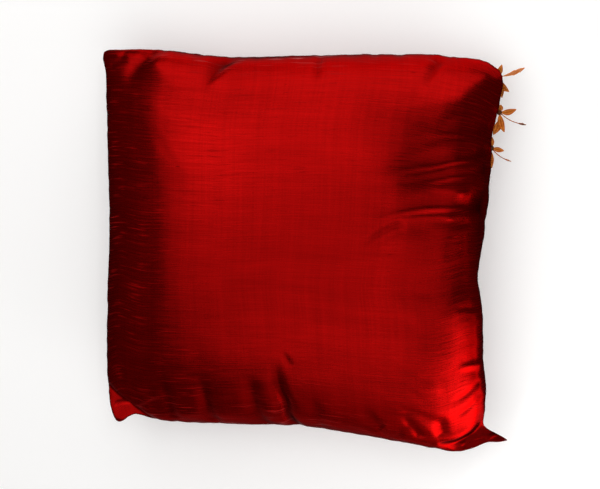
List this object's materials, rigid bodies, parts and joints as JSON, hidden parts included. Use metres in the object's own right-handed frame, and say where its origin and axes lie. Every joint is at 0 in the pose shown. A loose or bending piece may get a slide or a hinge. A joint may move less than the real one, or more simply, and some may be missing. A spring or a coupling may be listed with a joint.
{
  "type": "scatter cushion",
  "caption": "Square filled scatter cushion in slubbed silk, crowned, with drawn-in sides and small needle-lace flowers sewn behind the seam near one corner.",
  "frame": {"origin": "on the flat patch of the back that rests on the floor, under the middle of the seam's square", "axes": "+Z out of the plain face, +Y towards the cushion's top side, +X towards the side with the lace flowers"},
  "size_m": [0.428, 0.4059, 0.127],
  "materials": {
    "red_silk": "glossy slubbed silk",
    "gold_lace": "satin thread"
  },
  "bodies": {
    "root": {"cushion": "red_silk", "lace_flower_1": "gold_lace", "lace_flower_2": "gold_lace", "lace_flower_3": "gold_lace"}
  },
  "joints": []
}
